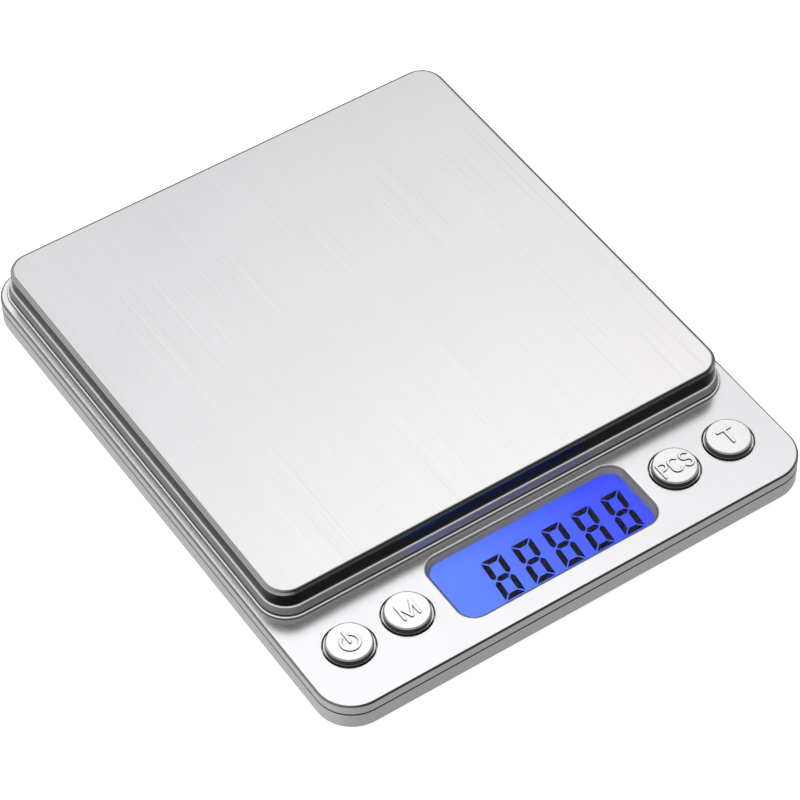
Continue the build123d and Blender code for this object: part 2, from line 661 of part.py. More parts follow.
def button(name):
    """A hollow cap with a flange under the deck and a post that meets the switch."""
    place = (BUTTON_X[name], BUTTON_Y)
    cap = fillet(top_edges(rod(CAP_RADIUS, place, (CAP_LEDGE_Z, CAP_TOP_Z))), CAP_EDGE_ROUND)
    cap += rod(CAP_LEDGE_RADIUS, place, (CAP_FLANGE_TOP_Z, CAP_LEDGE_Z))
    cap += rod(CAP_FLANGE_RADIUS, place, (CAP_FLANGE_BOTTOM_Z, CAP_FLANGE_TOP_Z))
    hollow_z = (CAP_FLANGE_BOTTOM_Z, CAP_TOP_Z - CAP_SHELL)
    cap -= rod(CAP_LEDGE_RADIUS - CAP_SHELL, place, hollow_z) - rod(CAP_POST_RADIUS, place, hollow_z)
    legend = Pos(place[0], place[1], CAP_TOP_Z - LEGEND_RELIEF) * LEGENDS[name]()
    return cap + extrude(legend, 2 * LEGEND_RELIEF)


def plunger(name):
    return rod(PLUNGER_RADIUS, (BUTTON_X[name], BUTTON_Y), (PLUNGER_BOTTOM_Z, CAP_FLANGE_BOTTOM_Z))


def tact_switches():
    switches = []
    half = SWITCH_SIZE / 2
    for x in BUTTON_X.values():
        case = box_between(
            (x - half, x + half), (BUTTON_Y - half, BUTTON_Y + half), (BOARD_TOP_Z, BOARD_TOP_Z + SWITCH_HEIGHT)
        )
        well = rod(
            PLUNGER_RADIUS + PLUNGER_CLEARANCE, (x, BUTTON_Y), (PLUNGER_WELL_Z, BOARD_TOP_Z + SWITCH_HEIGHT)
        )
        switches.append(case - well)
    return node(switches)


# --- Circuit board --------------------------------------------------------------------------------------
def main_circuit_board():
    board_z = (BOARD_BOTTOM_Z, BOARD_TOP_Z)
    board = box_between((-BOARD_HALF_WIDTH, BOARD_HALF_WIDTH), (BOARD_FRONT_Y, BOARD_REAR_Y), board_z)
    notch = CASE_BOSS_RADIUS + BOARD_NOTCH_CLEARANCE
    for x, y in CASE_SCREWS_FRONT:
        board -= box_between((x - notch, x + notch), (BOARD_FRONT_Y - 1, y + notch), board_z)
    for place in BOARD_SCREWS:
        board -= rod(BOARD_SCREW_RADIUS, place, board_z)
    return board


def chip(middle, size, leads_per_side, lead_pitch):
    """A chip with flat leads along its two long sides."""
    x, y = middle
    length, width, height = size
    half_lead = lead_pitch / 6
    reach = width / 2 + CHIP_LEAD_REACH
    part = box_between(
        (x - length / 2, x + length / 2), (y - width / 2, y + width / 2),
        (BOARD_TOP_Z + CHIP_STANDOFF, BOARD_TOP_Z + height),
    )
    for number in range(leads_per_side):
        lead_x = x + (number - (leads_per_side - 1) / 2) * lead_pitch
        part += box_between(
            (lead_x - half_lead, lead_x + half_lead), (y - reach, y + reach),
            (BOARD_TOP_Z, BOARD_TOP_Z + CHIP_LEAD_SHEET),
        )
    return part


def timing_crystal():
    length, width, height = CRYSTAL_SIZE
    can = rounded_block(length, width, CRYSTAL_CORNER, (BOARD_TOP_Z, BOARD_TOP_Z + height))
    return Pos(*CRYSTAL_PLACE) * fillet(top_edges(can), CRYSTAL_EDGE_ROUND)


def filter_capacitors():
    cans = []
    for place in CAPACITOR_PLACES:
        can = rod(CAPACITOR_RADIUS, place, (BOARD_TOP_Z, BOARD_TOP_Z + CAPACITOR_HEIGHT))
        cans.append(fillet(top_edges(can), CAPACITOR_EDGE_ROUND))
    return node(cans)


def chip_resistors():
    width, length, height = RESISTOR_SIZE
    first_x, y = RESISTOR_FIRST
    resistors = []
    for number in range(RESISTOR_COUNT):
        x = first_x + RESISTOR_PITCH * number
        resistors.append(box_between(
            (x - width / 2, x + width / 2), (y - length / 2, y + length / 2), (BOARD_TOP_Z, BOARD_TOP_Z + height)
        ))
    return node(resistors)


def board_screws():
    return node(recessed_screw(
        place, BOARD_SCREW_RADIUS, BOARD_SCREW_HEAD_RADIUS,
        head_z=(BOARD_TOP_Z, BOARD_TOP_Z + BOARD_SCREW_HEAD), shank_z=(FLOOR_Z, BOARD_TOP_Z),
        drive_face_z=BOARD_TOP_Z + BOARD_SCREW_HEAD,
    ) for place in BOARD_SCREWS)


# --- Batteries ------------------------------------------------------------------------------------------
def battery_cell(y, nub_side):
    """An AAA cell lying along X, with its positive nub towards nub_side."""
    body_length = BATTERY_LENGTH - BATTERY_NUB
    body = Cylinder(BATTERY_RADIUS, body_length)
    body = fillet(body.edges().filter_by(GeomType.CIRCLE), BATTERY_EDGE_ROUND)
    cell = Pos(-nub_side * BATTERY_NUB / 2, y, BATTERY_Z) * Rot(0, 90, 0) * body
    nub = Cylinder(BATTERY_NUB_RADIUS, 2 * BATTERY_NUB)
    nub_middle = nub_side * (BATTERY_LENGTH / 2 - BATTERY_NUB)
    return cell + Pos(nub_middle, y, BATTERY_Z) * Rot(0, 90, 0) * nub


def contact_strip(side, y_middles):
    """A bent spring strip on the bay wall, with one crest pressed on each cell end."""
    wall_x = side * (BAY_HALF_WIDTH - CONTACT_SHEET / 2)
    crest_x = side * (BATTERY_LENGTH / 2 + CONTACT_SHEET / 2)
    foot_inner, foot_outer = CONTACT_FOOT
    points = []
    for y in y_middles:
        points += [(wall_x, y - foot_outer), (wall_x, y - foot_inner)]
        points += [(crest_x, y - CONTACT_CREST_HALF), (crest_x, y + CONTACT_CREST_HALF)]
        points += [(wall_x, y + foot_inner), (wall_x, y + foot_outer)]
    strip = extrude(trace(Polyline(*points), CONTACT_SHEET), CONTACT_Z[1] - CONTACT_Z[0])
    return Pos(0, 0, CONTACT_Z[0]) * strip


def battery_door():
    """A flat door whose tongues run in the casing's grooves, cut flush with the leaning rear."""
    way = (BAY_FRONT_Y + DOOR_CLEARANCE, HALF_LENGTH)
    door = box_between((-DOOR_HALF_WIDTH, DOOR_HALF_WIDTH), way, (UNDERSIDE_Z, FLOOR_Z))
    door += box_between((-TONGUE_HALF_WIDTH, TONGUE_HALF_WIDTH), way, TONGUE_Z)
    door = door & body_envelope()
    for number in range(GRIP_GROOVES):
        y = BAY_REAR_Y - number * GRIP_PITCH
        door -= box_between(
            (-GRIP_HALF_LENGTH, GRIP_HALF_LENGTH), (y - GRIP_WIDTH / 2, y + GRIP_WIDTH / 2),
            (UNDERSIDE_Z, UNDERSIDE_Z + GRIP_DEPTH),
        )
    return door


# --- Wires ----------------------------------------------------------------------------------------------
def lead(points, diameter):
    """A wire of straight runs joined by tangent bends."""
    path = FilletPolyline(*points, radius=LEAD_BEND)
    section = Plane(origin=path @ 0, z_dir=path % 0) * Circle(diameter / 2)
    wire = sweep(section, path)
    expected = path.length * section.area
    print(f"lead: {path.length:.1f} mm long, volume off by {100 * (wire.volume / expected - 1):.2f} %")
    return wire


def battery_lead(colour):
    """From the outer face of a contact strip, along the load cell, to the board's rear edge."""
    y = BATTERY_LEAD_Y[colour]
    run_x = BATTERY_LEAD_RUN_X[colour]
    return lead([
        (-BAY_HALF_WIDTH, y, BATTERY_Z),
        (run_x, y, BATTERY_Z),
        (run_x, y - BATTERY_LEAD_STRAIGHT, BATTERY_Z),
        (run_x, LEAD_END_Y + BATTERY_LEAD_STRAIGHT, LEAD_ARCH_Z),
        (run_x, LEAD_END_Y, LEAD_ARCH_Z),
        (run_x, LEAD_END_Y, BOARD_TOP_Z),
    ], BATTERY_LEAD_DIAMETER)


def cell_lead(number):
    """From the seal over the strain gauges to the board, beside its three neighbours."""
    x = CELL_LEAD_FIRST_X + CELL_LEAD_PITCH * number
    seal_front_y = PAN_Y - SEAL_SIZE[1] / 2
    return lead([
        (x, seal_front_y, CELL_LEAD_Z),
        (x, seal_front_y - CELL_LEAD_STRAIGHT, CELL_LEAD_Z),
        (x, LEAD_END_Y, LEAD_ARCH_Z),
        (x, LEAD_END_Y, BOARD_TOP_Z),
    ], CELL_LEAD_DIAMETER)


# --- All nodes ------------------------------------------------------------------------------------------
NODES = {
    "top_casing": top_casing(),
    "bottom_casing": bottom_casing(),
    "case_screws": case_screws(),
    "weighing_pan": weighing_pan(),
    "pan_carrier": pan_carrier(),
    "pan_tape_pads": pan_tape_pads(),
    "carrier_screws": carrier_screws(),
    "load_cell": load_cell(),
    "gauge_seal": gauge_seal(),
    "cell_base_screws": cell_base_screws(),
    "display_lens": display_lens(),
    "lcd_front_glass": lcd_front_glass(),
    "lcd_rear_glass": lcd_rear_glass(),
    "lcd_frame": lcd_frame(),
    "backlight_panel": backlight_panel(),
    "backlight_led": backlight_led(),
    "display_connector": display_connector(),
    "tact_switches": tact_switches(),
    "main_circuit_board": main_circuit_board(),
    "controller_chip": chip(**CONTROLLER_CHIP),
    "converter_chip": chip(**CONVERTER_CHIP),
    "timing_crystal": timing_crystal(),
    "filter_capacitors": filter_capacitors(),
    "chip_resistors": chip_resistors(),
    "board_screws": board_screws(),
    "front_battery_cell": battery_cell(BATTERY_Y[0], 1),
    "rear_battery_cell": battery_cell(BATTERY_Y[1], -1),
    "negative_contact": contact_strip(-1, BATTERY_Y[:1]),
    "positive_contact": contact_strip(-1, BATTERY_Y[1:]),
    "bridge_contact": contact_strip(1, BATTERY_Y),
    "battery_door": battery_door(),
}
for corner_name, centre in FOOT_CENTRES.items():
    NODES[f"{corner_name}_foot"] = foot(centre)
for button_name in BUTTON_X:
    NODES[f"{button_name}_button"] = button(button_name)
    NODES[f"{button_name}_plunger"] = plunger(button_name)
for lead_colour in BATTERY_LEAD_Y:
    NODES[f"{lead_colour}_battery_lead"] = battery_lead(lead_colour)
for lead_number, lead_colour in enumerate(CELL_LEAD_COLOURS):
    NODES[f"{lead_colour}_cell_lead"] = cell_lead(lead_number)

os.makedirs("parts", exist_ok=True)
for node_name, shape in NODES.items():
    export_step(shape, f"parts/{node_name}.step")
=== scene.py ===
"""Looks for the digital gram scale: finishes for every CAD piece, the lit display, and a plain studio."""
import json
import math

import bpy
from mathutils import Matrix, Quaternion, Vector


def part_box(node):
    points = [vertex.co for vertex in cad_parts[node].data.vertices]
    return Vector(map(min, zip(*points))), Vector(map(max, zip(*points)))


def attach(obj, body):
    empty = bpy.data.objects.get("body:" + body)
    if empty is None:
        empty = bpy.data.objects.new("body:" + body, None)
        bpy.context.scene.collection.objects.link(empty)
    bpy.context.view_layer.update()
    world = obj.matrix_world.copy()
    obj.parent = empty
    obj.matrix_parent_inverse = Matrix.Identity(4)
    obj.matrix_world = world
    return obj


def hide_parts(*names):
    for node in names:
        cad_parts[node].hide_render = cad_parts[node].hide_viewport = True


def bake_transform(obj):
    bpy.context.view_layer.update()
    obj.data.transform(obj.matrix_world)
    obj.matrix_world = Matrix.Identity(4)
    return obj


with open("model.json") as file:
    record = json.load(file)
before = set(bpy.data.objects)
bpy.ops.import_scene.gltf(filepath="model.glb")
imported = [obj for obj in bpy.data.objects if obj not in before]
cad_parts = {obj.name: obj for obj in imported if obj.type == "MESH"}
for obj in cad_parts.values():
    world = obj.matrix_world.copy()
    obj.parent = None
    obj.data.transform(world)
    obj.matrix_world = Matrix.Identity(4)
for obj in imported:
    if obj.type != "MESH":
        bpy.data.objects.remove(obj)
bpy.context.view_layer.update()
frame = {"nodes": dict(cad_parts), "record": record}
nodes = frame["nodes"]

MM = 0.001

# --- Camera --------------------------------------------------------------------------
CAMERA_PLACE = Vector((-0.23145, -0.36304, 0.49750))
CAMERA_AIM = Vector((-0.00034, -0.00372, 0.00764))
CAMERA_ROLL = math.radians(-1.335)
CAMERA_LENS = 152.38
SENSOR_WIDTH = 36.0
CLIP = (0.01, 50.0)

# --- Display -------------------------------------------------------------------------
DIGIT_COUNT = 5                  # with every segment dark, as in a self-test
DIGIT_WIDTH = 4.4 * MM
DIGIT_HEIGHT = 9.9 * MM
DIGIT_PITCH = 6.72 * MM
SEGMENT = 1.2 * MM
SEGMENT_GAP = 0.2 * MM
SEGMENT_THICKNESS = 0.02 * MM
INK_CLEARANCE = 0.005 * MM       # from the front glass to the segments
DIGIT_SLANT = math.tan(math.radians(5.7))
FIRST_DIGIT = Vector((-12.3, -56.5)) * MM
LENS_INDEX = 1.15                # below those of acrylic and glass, to keep the digits clear
GLASS_INDEX = 1.03
GLOW_AT_LED = (0.13, 0.24, 1.0)
GLOW_FAR_END = (0.055, 0.085, 0.92)

# --- Heights of the upper casing -----------------------------------------------------
BUTTON_RISE = 1.52 * MM          # from the deck to the top of a key's legend
WINDOW_RIM = 0.35 * MM           # painted part of the window's wall, below the deck
LIP_RISE = 0.5 * MM              # the lip's top, above the deck
LIP_ROUND = 0.25 * MM

# --- Paint ---------------------------------------------------------------------------
FLAKES = 6500                    # noise per metre
FLAKE_SHADES = (0.93, 1.05)      # darkest and lightest flake, as shares of the colour
FLAKE_RELIEF = 0.012 * MM
FLAKE_STRENGTH = 0.3
PAINT = {"Metallic": 0.85, "Coat_Weight": 0.1, "Coat_Roughness": 0.15}
PAINT_ROUGHNESS = (0.22, 0.28)
UPPER_SILVER = (0.77, 0.765, 0.785)
LOWER_SILVER = (0.76, 0.755, 0.775)
BARE_PLASTIC = (0.36, 0.36, 0.37)
# a painted highlight on the lip round the pan and on the carrier's top edge
EDGE_HIGHLIGHT = (0.98, 0.98, 0.98)
MATT_METALLIC = 0.1
MATT_ROUGHNESS = 0.4             # added on the bare window walls and on the edges painted bright
EDGE_REFLECTION_FRONT = (0.0, 0.0, 0.0)     # painted dark reflection on rounded edges at the front and rear
EDGE_REFLECTION_SIDE = (0.34, 0.34, 0.35)   # the same on the sides
# share of the painted edge reflection in the colour
EDGE_REFLECTION_SHARE = 0.9
GAP_DEPTH = 0.6 * MM             # gaps narrower than this get painted shade inside
# the colour of the painted shade in narrow gaps
GAP_SHADE = (0.02, 0.02, 0.02)
CARRIER_SILVER = ((0.38, 0.38, 0.385), (0.45, 0.45, 0.455))
KEY_SILVER = ((0.74, 0.74, 0.75), (0.83, 0.83, 0.84))
# painted shade on the keys' upright walls
KEY_WALL_SHADE = (0.16, 0.16, 0.165)
KEY_CREASE = 0.3 * MM            # how far the painted shade spreads from a legend's foot
# the colour of the painted shade round a legend
KEY_CREASE_SHADE = (0.10, 0.10, 0.11)

# --- Steel ---------------------------------------------------------------------------
FINE_LINES = (4200, 22, 4200)    # noise per metre: across the brushing, along it, and up
BROAD_LINES = (800, 16, 800)
BROAD_SHARE = 0.35
SCRATCHES = (4200, 18, 4200)
CLOUDS = (18, 12, 18)
BRUSHED = ((0.86, 0.855, 0.845), (0.925, 0.92, 0.91))
STEEL_CLOUD = (0.885, 0.86, 0.855)
STEEL_SHADE = (0.67, 0.66, 0.68)  # painted shade towards the rear and the left
SCRATCH_LIGHT = (0.97, 0.97, 0.97)
SCRATCH_DARK = (0.6, 0.6, 0.6)
# painted reflection on the rolled edge: dark at the front and rear, light on the sides
ROLLED_FRONT_REFLECTION = (0.13, 0.135, 0.135)
ROLLED_SIDE_REFLECTION = (0.75, 0.74, 0.74)
# painted near-black reflection on the skirt
SKIRT_REFLECTION = (0.022, 0.027, 0.028)

# --- Light ---------------------------------------------------------------------------
SOFT_BOX_TOWARDS = (0.24, 0.47, 0.85)
SOFT_BOX_EDGE = (0.91, 1.0)      # cosines at which it begins and is full
SOFT_BOX_LIGHT = 1.04
CEILING_TOWARDS = (0, 0.3, 1)
CEILING_EDGE = (0.35, 1.0)
CEILING_LIGHT = 0.52
TABLE_EDGE = (0.3, 0.6)
TABLE_REAR = (-0.5, 1, 0)
TABLE_BLEND = (-0.6, 0.6)        # cosines to the rear between which its light changes
TABLE_LIGHT = (0.4, 0.62)        # in front, behind
WALL_LIGHT = 0.4
WALL_TOP = (0.66, 0.4)           # cosines to straight up at which the walls end and are full
CARD_TOWARDS = (0.75, 0.6, 0.2)  # a dark card behind on the right, for crisp dark edges
CARD_EDGE = (0.6, 0.85)
CARD_SHINE = 0.35                # share of the wall's light that it leaves
FILL_PLACE = (-0.5, -0.3, 1.3)
FILL_SIZE = 1.6
FILL_LIGHT = 1.7
FLOOR_HALF = 4.0
FLOOR_GLOW = 0.7


# --- Node helpers --------------------------------------------------------------------
class Finish:
    """A material and short ways to add the nodes that a procedural finish needs."""

    def __init__(self, name, **sockets):
        self.material = bpy.data.materials.new(name)
        self.material.use_nodes = True
        self.tree = self.material.node_tree
        self.shader = self.tree.nodes["Principled BSDF"]
        for socket, value in sockets.items():
            self.set(socket, value)

    def socket(self, name):
        return self.shader.inputs[name.replace("_", " ").title().replace("Ior", "IOR")]

    def set(self, name, value):
        if isinstance(value, bpy.types.NodeSocket):
            self.tree.links.new(value, self.socket(name))
        elif isinstance(value, tuple):
            self.socket(name).default_value = (*value, 1.0)
        else:
            self.socket(name).default_value = value

    def add(self, kind, inputs=(), **settings):
        node = self.tree.nodes.new(kind)
        for key, value in settings.items():
            setattr(node, key, value)
        for key, value in dict(inputs).items():
            if isinstance(value, bpy.types.NodeSocket):
                self.tree.links.new(value, node.inputs[key])
            else:
                node.inputs[key].default_value = value
        return node

    def place(self, stretch=(1, 1, 1)):
        """The point on the piece, in metres, with each axis multiplied."""
        point = self.add("ShaderNodeTexCoord").outputs["Object"]
        return self.add("ShaderNodeMapping", {"Vector": point, "Scale": stretch}).outputs["Vector"]

    def axes(self):
        """The point on the piece as separate X, Y and Z."""
        return self.add("ShaderNodeSeparateXYZ", {"Vector": self.place()}).outputs

    def noise(self, stretch, detail=2.0):
        node = self.add("ShaderNodeTexNoise", {
            "Vector": self.place(stretch), "Scale": 1.0, "Detail": detail, "Roughness": 0.5,
        })
        return node.outputs["Fac"]

    def flakes(self):
        """Noise as fine as the flake in metallic paint, which also roughens the surface."""
        flake = self.noise((FLAKES, FLAKES, FLAKES), detail=0.0)
        self.set("Normal", self.bump(flake, FLAKE_RELIEF, FLAKE_STRENGTH))
        return flake

    def haze(self, low, high):
        """A slow change between two values, as on a handled surface."""
        return self.between(self.noise((90, 90, 90)), low, high)

    def between(self, value, low, high, start=0.0, end=1.0, smooth=False):
        """Runs from low to high as a value runs from start to end."""
        node = self.add("ShaderNodeMapRange", {
            "Value": value, "From Min": start, "From Max": end, "To Min": low, "To Max": high,
        })
        node.interpolation_type = "SMOOTHSTEP" if smooth else "LINEAR"
        return node.outputs["Result"]

    def mix(self, factor, first, second):
        node = self.add("ShaderNodeMix", data_type="RGBA")
        for name, value in (("Factor", factor), ("A", first), ("B", second)):
            socket = next(s for s in node.inputs if s.name == name and s.enabled)
            if isinstance(value, bpy.types.NodeSocket):
                self.tree.links.new(value, socket)
            else:
                socket.default_value = (*value, 1.0) if isinstance(value, tuple) else value
        return next(s for s in node.outputs if s.enabled)

    def maths(self, operation, first, second=0.0):
        return self.add("ShaderNodeMath", {0: first, 1: second}, operation=operation).outputs[0]

    def product(self, values):
        result = values[0]
        for value in values[1:]:
            result = self.maths("MULTIPLY", result, value)
        return result

    def bump(self, height, distance, strength=1.0):
        node = self.add("ShaderNodeBump", {"Height": height, "Distance": distance, "Strength": strength})
        return node.outputs["Normal"]

    def creases(self, reach, shut, free):
        """One in tight corners and zero in the open.

        The share of open space within reach is at most shut in the first, and at least free in the second.
        """
        space = self.add("ShaderNodeAmbientOcclusion", {"Distance": reach}, samples=8)
        return self.between(space.outputs["AO"], 1, 0, shut, free)

    def brush_along(self, direction):
        """Stretches highlights across a brushing direction given in the piece's own axes."""
        vector = self.add("ShaderNodeCombineXYZ", dict(zip("XYZ", direction))).outputs["Vector"]
        turned = self.add(
            "ShaderNodeVectorTransform", {"Vector": vector},
            vector_type="VECTOR", convert_from="OBJECT", convert_to="WORLD",
        )
        self.set("Tangent", turned.outputs["Vector"])

    def facing(self, axis):
        """How far the surface faces along an axis, such as 1 on top and 0 on a wall for Z."""
        normal = self.add("ShaderNodeTexCoord").outputs["Normal"]
        return self.add("ShaderNodeSeparateXYZ", {"Vector": normal}).outputs[axis]

    def sideways(self):
        """One on surfaces that lean to the left or right, and zero on those at the front and rear."""
        return self.between(self.maths("ABSOLUTE", self.facing("X")), 0, 1, 0.15, 0.5)

    def rounded_edge(self, low, high):
        """One on a sloping surface between two heights, and zero on flat tops and walls."""
        height = self.axes()["Z"]
        slope = self.facing("Z")
        return self.product([
            self.maths("GREATER_THAN", height, low),
            self.maths("LESS_THAN", height, high),
            self.between(slope, 0, 1, 0.3, 0.5),
            self.between(slope, 1, 0, 0.97, 1.0),
        ])

    def inside(self, low, high):
        """One inside the box from low to high, and zero outside it."""
        axes = self.axes()
        tests = []
        for axis, start, end in zip("XYZ", low, high):
            tests.append(self.maths("GREATER_THAN", axes[axis], start))
            tests.append(self.maths("LESS_THAN", axes[axis], end))
        return self.product(tests)


# --- Painted plastic -----------------------------------------------------------------
def deck_height():
    """The height of the deck, measured down from the top of a key."""
    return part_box("tare_button")[1].z - BUTTON_RISE


def silver_paint(finish, colour, lighter):
    """Fine metallic flake, with a painted reflection on rounded edges and painted shade in narrow gaps.

    The painted reflection is dark, and less so where lighter is one.
    """
    dark, light = (tuple(shade * channel for channel in colour) for shade in FLAKE_SHADES)
    paint = finish.mix(finish.between(finish.flakes(), 0, 1, 0.3, 0.7), dark, light)
    up = finish.facing("Z")
    # Painted reflection: rounded edges are dark at the front and rear, lighter on the sides.
    edge = finish.product([
        finish.between(up, 0, EDGE_REFLECTION_SHARE, 0.3, 0.5),
        finish.between(up, 1, 0, 0.92, 0.99),
    ])
    paint = finish.mix(edge, paint, finish.mix(lighter, EDGE_REFLECTION_FRONT, EDGE_REFLECTION_SIDE))
    # Painted shade darkens narrow gaps and seams.
    return finish.mix(finish.creases(GAP_DEPTH, 0.42, 0.85), paint, GAP_SHADE)


def upper_casing_paint(name):
    """Silver paint, with a painted highlight on the lip round the pan.

    The window's walls are bare plastic, so that they don't mirror the lit display.
    """
    finish = Finish(name, **PAINT)
    low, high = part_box("display_lens")
    deck = deck_height()
    walls = finish.inside(low, (high.x, high.y, deck - WINDOW_RIM))
    window = finish.inside(low, (high.x, high.y, deck))
    lip = deck + LIP_RISE
    # Painted highlight: the lip's rounded top edge is made bright and matt.
    lit_lip = finish.rounded_edge(lip - LIP_ROUND, lip)
    paint = silver_paint(finish, UPPER_SILVER, finish.maths("MAXIMUM", finish.sideways(), window))
    paint = finish.mix(walls, paint, BARE_PLASTIC)
    matt = finish.maths("MAXIMUM", walls, lit_lip)
    finish.set("Base Color", finish.mix(lit_lip, paint, EDGE_HIGHLIGHT))
    finish.set("Metallic", finish.between(matt, PAINT["Metallic"], MATT_METALLIC))
    rougher = finish.maths("MULTIPLY", matt, MATT_ROUGHNESS)
    finish.set("Roughness", finish.maths("ADD", finish.haze(*PAINT_ROUGHNESS), rougher))
    return finish.material


def lower_casing_paint(name):
    finish = Finish(name, **PAINT)
    finish.set("Base Color", silver_paint(finish, LOWER_SILVER, finish.sideways()))
    finish.set("Roughness", finish.haze(*PAINT_ROUGHNESS))
    return finish.material


def carrier_paint(name):
    """Dark silver paint on the pan's carrier, with a painted highlight on the edge that the pan sits in.
    """
    finish = Finish(name)
    flake = finish.flakes()
    # Painted highlight: the carrier's upward-facing surfaces are made bright and matt.
    edge = finish.between(finish.facing("Z"), 0, 1, 0.35, 0.6)
    finish.set("Base Color", finish.mix(edge, finish.mix(flake, *CARRIER_SILVER), EDGE_HIGHLIGHT))
    finish.set("Metallic", finish.between(edge, 0.75, MATT_METALLIC))
    finish.set("Roughness", finish.between(flake, 0.38, 0.46))
    return finish.material


def key_paint(name):
    """Bright silver paint, with painted shade on the upright walls and in the corners round the legend."""
    finish = Finish(name, **PAINT)
    paint = finish.mix(finish.between(finish.flakes(), 0, 1, 0.3, 0.7), *KEY_SILVER)
    # Painted shade on the upright walls of the key and its legend.
    wall = finish.between(finish.facing("Z"), 1, 0, 0.05, 0.5, smooth=True)
    paint = finish.mix(wall, paint, KEY_WALL_SHADE)
    # Painted shade in the corners round the legend.
    finish.set("Base Color", finish.mix(finish.creases(KEY_CREASE, 0.5, 0.95), paint, KEY_CREASE_SHADE))
    finish.set("Roughness", finish.haze(0.2, 0.26))
    return finish.material


# --- Metal ---------------------------------------------------------------------------
def brushed_top(finish, brushing):
    """The pan's flat top: brushing, clouds, light and dark scratches, and a painted shade to the rear and
    left.
    """
    low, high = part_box("weighing_pan")
    axes = finish.axes()
    rear = finish.between(axes["Y"], 0, 0.6, low.y, high.y)
    left = finish.between(axes["X"], 0.65, 0, low.x, high.x)
    cloud = finish.noise(CLOUDS, detail=1.0)
    scratches = finish.noise(SCRATCHES, detail=0.0)
    top = finish.mix(brushing, *BRUSHED)
    top = finish.mix(finish.between(cloud, 0, 0.6, 0.35, 0.7), top, STEEL_CLOUD)
    # Painted shade towards the rear and the left.
    top = finish.mix(finish.maths("ADD", rear, left), top, STEEL_SHADE)
    top = finish.mix(finish.between(scratches, 0, 0.3, 0.66, 0.82), top, SCRATCH_LIGHT)
    return finish.mix(finish.between(scratches, 0.5, 0, 0.18, 0.32), top, SCRATCH_DARK)


def brushed_steel(name):
    """Stainless sheet brushed along Y on top; its rolled edge and its dark skirt are polished, and carry a
    painted reflection: dark on the rolled edge at the front and rear, light on its sides, near-black on
    the skirt.
    """
    finish = Finish(name, Metallic=1.0, Anisotropic=0.5)
    finish.brush_along((0, 1, 0))
    fine = finish.noise(FINE_LINES)
    broad = finish.maths("MULTIPLY", finish.noise(BROAD_LINES), BROAD_SHARE)
    brushing = finish.between(finish.maths("ADD", fine, broad), 0, 1, 0.35, 1.0)
    up = finish.facing("Z")
    edge = finish.between(up, 1, 0, 0.9, 0.985)
    # Painted reflection: near-black on the skirt, dark on the rolled edge at the front and rear, light on
    # its sides.
    skirt = finish.between(up, 1, 0, 0.01, 0.12, smooth=True)
    rolled = finish.mix(finish.sideways(), ROLLED_FRONT_REFLECTION, ROLLED_SIDE_REFLECTION)
    steel = finish.mix(edge, brushed_top(finish, brushing), rolled)
    finish.set("Base Color", finish.mix(skirt, steel, SKIRT_REFLECTION))
    polish = finish.between(up, -0.12, 0, 0.9, 0.995)
    finish.set("Roughness", finish.maths("ADD", finish.between(brushing, 0.26, 0.32), polish))
    finish.set("Normal", finish.bump(brushing, 0.006 * MM, 0.3))
    return finish.material


def load_cell_metal(name):
    finish = Finish(name, Metallic=1.0)
    milling = finish.noise((3000, 80, 3000))
    finish.set("Base Color", finish.mix(milling, (0.62, 0.63, 0.64), (0.8, 0.81, 0.82)))
    finish.set("Roughness", finish.between(milling, 0.28, 0.42))
    finish.set("Normal", finish.bump(milling, 0.01 * MM, 0.4))
    return finish.material


def battery_sleeve(name):
    """A plain dark sleeve with steel end faces."""
    finish = Finish(name, Metallic=0.6, Coat_Weight=0.3)
    end = finish.between(finish.maths("ABSOLUTE", finish.facing("X")), 0, 1, 0.7, 0.9)
    mottle = finish.noise((400, 400, 400))
    sleeve = finish.mix(mottle, (0.03, 0.035, 0.045), (0.05, 0.055, 0.065))
    finish.set("Base Color", finish.mix(end, sleeve, (0.6, 0.6, 0.58)))
    finish.set("Roughness", finish.between(mottle, 0.3, 0.4))
    return finish.material


# --- Display finishes ----------------------------------------------------------------
def clear(name, colour, index):
    """Glass or acrylic, with the faint haze of a handled surface."""
    finish = Finish(name, Base_Color=colour, IOR=index, Transmission_Weight=1.0)
    finish.set("Roughness", finish.between(finish.noise((60, 60, 60)), 0.0, 0.01))
    return finish.material


def backlight(name):
    """The blue light panel, brighter at the end where its LED is."""
    low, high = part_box("backlight_panel")
    finish = Finish(name, Roughness=0.5, Base_Color=(0.02, 0.03, 0.12))
    across = finish.between(finish.axes()["X"], 0, 1, low.x, high.x, smooth=True)
    cloud = finish.noise((70, 90, 70), detail=1.0)
    finish.set("Emission Color", finish.mix(across, GLOW_AT_LED, GLOW_FAR_END))
    finish.set("Emission Strength", finish.between(cloud, 0.95, 1.1))
    return finish.material


def black_ink():
    finish = Finish("display_ink", Specular_IOR_Level=0.0)
    mottle = finish.noise((900, 900, 900))
    finish.set("Base Color", finish.mix(mottle, (0.002, 0.002, 0.006), (0.004, 0.004, 0.012)))
    finish.set("Roughness", finish.between(mottle, 0.55, 0.65))
    return finish.material


# --- Plain finishes ------------------------------------------------------------------
def plain(name, colour, roughness, grain=600, spread=0.08, depth=0.0, **sockets):
    """A moulded or coated surface with a slight mottle, and a fine grain if depth is given."""
    finish = Finish(name, **sockets)
    mottle = finish.noise((grain, grain, grain))
    dark = tuple((1 - spread) * channel for channel in colour)
    light = tuple(min(1.0, (1 + spread) * channel) for channel in colour)
    finish.set("Base Color", finish.mix(mottle, dark, light))
    finish.set("Roughness", finish.between(mottle, roughness - 0.05, roughness + 0.05))
    if depth:
        finish.set("Normal", finish.bump(mottle, depth))
    return finish.material


